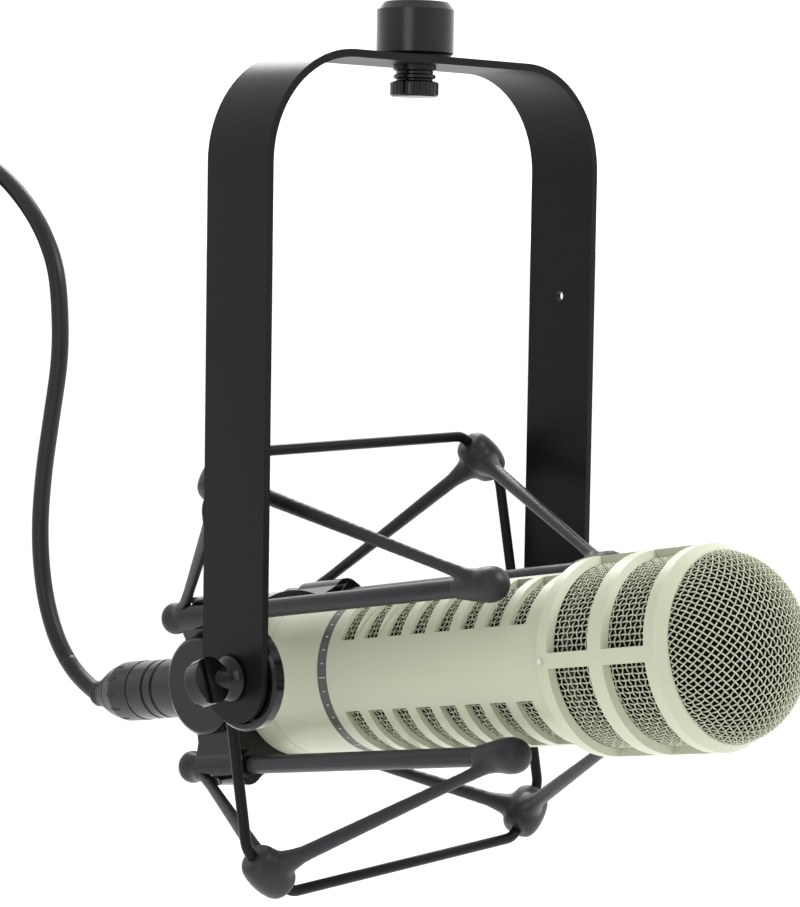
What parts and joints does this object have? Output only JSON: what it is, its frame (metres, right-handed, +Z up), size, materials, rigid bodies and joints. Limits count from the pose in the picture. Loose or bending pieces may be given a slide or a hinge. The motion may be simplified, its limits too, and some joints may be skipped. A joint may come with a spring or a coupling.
{
  "type": "microphone in yoke shock mount",
  "caption": "Large cylindrical broadcast microphone with slotted body and mesh head, hung in a rubber suspension inside a tilting wire loop and a flat-strap yoke, with its cable.",
  "frame": {"origin": "mouth centre of the female stand thread, on top of the stand adapter", "axes": "+Z up, along the stand thread out of its mouth; +X along the tilt pivots, to the side of the yoke with the small cable-tie hole; the microphone's front points to -Y, tilted up 11.4 degrees"},
  "size_m": [0.1628, 0.4523, 0.2572],
  "materials": {
    "satin_body": "satin fawn-beige paint with a fine metallic grain",
    "grille_wire": "woven wire, beige over black",
    "foam": "open-cell black foam",
    "dark_band": "dark ring with light index ticks",
    "black_steel": "semi-gloss black coating",
    "adapter_black": "black anodised, fine turning marks",
    "black_plastic": "glossy moulded black",
    "rubber": "matte blue-grey rubber",
    "rod_satin": "dark satin coating",
    "shock_rubber": "soft black rubber",
    "connector_metal": "dark warm-grey metal, satin",
    "connector_black": "black moulded plastic",
    "connector_rubber": "matte black rubber",
    "contact_metal": "plated pins",
    "cable_jacket": "matte black cable jacket",
    "hook_loop": "black hook-and-loop tape",
    "inner_plastic": "moulded black",
    "film": "thin polyester film",
    "copper": "enamelled copper winding",
    "soft_iron": "zinc-plated soft iron",
    "magnet_metal": "cast magnet alloy",
    "lamination": "laminated core with winding",
    "board": "glass-fibre circuit board"
  },
  "bodies": {
    "stand": {"stand_adapter": "adapter_black"},
    "pan_screw": {"pan_thumbscrew": "adapter_black"},
    "yoke": {"yoke_strap": "black_steel", "pan_washer": "black_steel", "cable_tube": "cable_jacket", "cable_coil": "cable_jacket", "cable_wrap": "hook_loop", "far_plug_boot": "connector_rubber", "far_plug_bushing": "connector_black", "far_plug_shell": "connector_metal", "far_plug_pins": "contact_metal"},
    "knob_left": {"tilt_knob_left": "black_plastic"},
    "knob_right": {"tilt_knob_right": "black_plastic"},
    "frame": {"wire_frame": "black_steel", "pivot_cup_left": "black_plastic", "pivot_cup_right": "black_plastic"},
    "cradle": {"clamp_upper": "black_plastic", "clamp_lower": "black_plastic", "clamp_disc_left": "black_plastic", "clamp_disc_right": "black_plastic", "rod_collars": "black_plastic", "suspension_rod_upper_left": "rod_satin", "suspension_rod_upper_right": "rod_satin", "suspension_rod_lower_left": "rod_satin", "suspension_rod_lower_right": "rod_satin", "suspension_tie_upper_left": "rubber", "suspension_tie_upper_right": "rubber", "suspension_tie_lower_left": "rubber", "suspension_tie_lower_right": "rubber", "body_tube": "satin_body", "head_shell": "satin_body", "front_grille": "grille_wire", "pop_foam": "foam", "name_band": "dark_band", "body_mesh": "grille_wire", "head_mesh": "grille_wire", "body_foam": "foam", "rear_cap": "satin_body", "head_screws": "contact_metal", "capsule_housing": "inner_plastic", "diaphragm": "film", "voice_coil": "copper", "pole_piece": "soft_iron", "magnet": "magnet_metal", "magnet_pot": "soft_iron", "shock_rings": "shock_rubber", "acoustic_tube": "inner_plastic", "hum_coil": "copper", "transformer": "lamination", "transformer_cup": "soft_iron", "filter_board": "board", "socket_insert": "connector_black", "socket_pins": "contact_metal", "bass_switch_plate": "connector_black", "connector_shell": "connector_metal", "connector_insert": "connector_black", "connector_bushing": "connector_black", "connector_boot": "connector_rubber"},
    "bass_switch": {"bass_switch_slider": "connector_black"},
    "latch": {"latch_button": "connector_black"}
  },
  "joints": [
    {"name": "pan", "type": "hinge", "parent": "stand", "child": "yoke", "pos_m": [0, 0, -0.0152], "axis": [0, 0, 1], "continuous": true},
    {"name": "pan_screw_turn", "type": "hinge", "parent": "stand", "child": "pan_screw", "pos_m": [0, 0, -0.0182], "axis": [0, 0, -1], "range_deg": [0, 360]},
    {"name": "knob_left_turn", "type": "hinge", "parent": "yoke", "child": "knob_left", "pos_m": [-0.067, 0, -0.1904], "axis": [-1, 0, 0], "range_deg": [0, 360]},
    {"name": "knob_right_turn", "type": "hinge", "parent": "yoke", "child": "knob_right", "pos_m": [0.067, 0, -0.1904], "axis": [1, 0, 0], "range_deg": [0, 360]},
    {"name": "tilt", "type": "hinge", "parent": "yoke", "child": "frame", "pos_m": [0, 0, -0.1904], "axis": [1, 0, 0], "range_deg": [-60, 60], "deforming": ["cable_tube"]},
    {"name": "suspension", "type": "slide", "parent": "frame", "child": "cradle", "axis": [0, 0.1977, 0.9803], "range_m": [-0.003, 0.003], "stiffness_N_per_m": 6000, "springref_m": 0.00165, "deforming": ["suspension_tie_upper_left", "suspension_tie_upper_right", "suspension_tie_lower_left", "suspension_tie_lower_right", "cable_tube"]},
    {"name": "bass_switch_slide", "type": "slide", "parent": "cradle", "child": "bass_switch", "axis": [0, -0.9803, 0.1977], "range_m": [0, 0.004]},
    {"name": "latch_press", "type": "slide", "parent": "cradle", "child": "latch", "axis": [0, -0.1977, -0.9803], "range_m": [0, 0.0008], "stiffness_N_per_m": 300, "springref_m": -0.002}
  ]
}
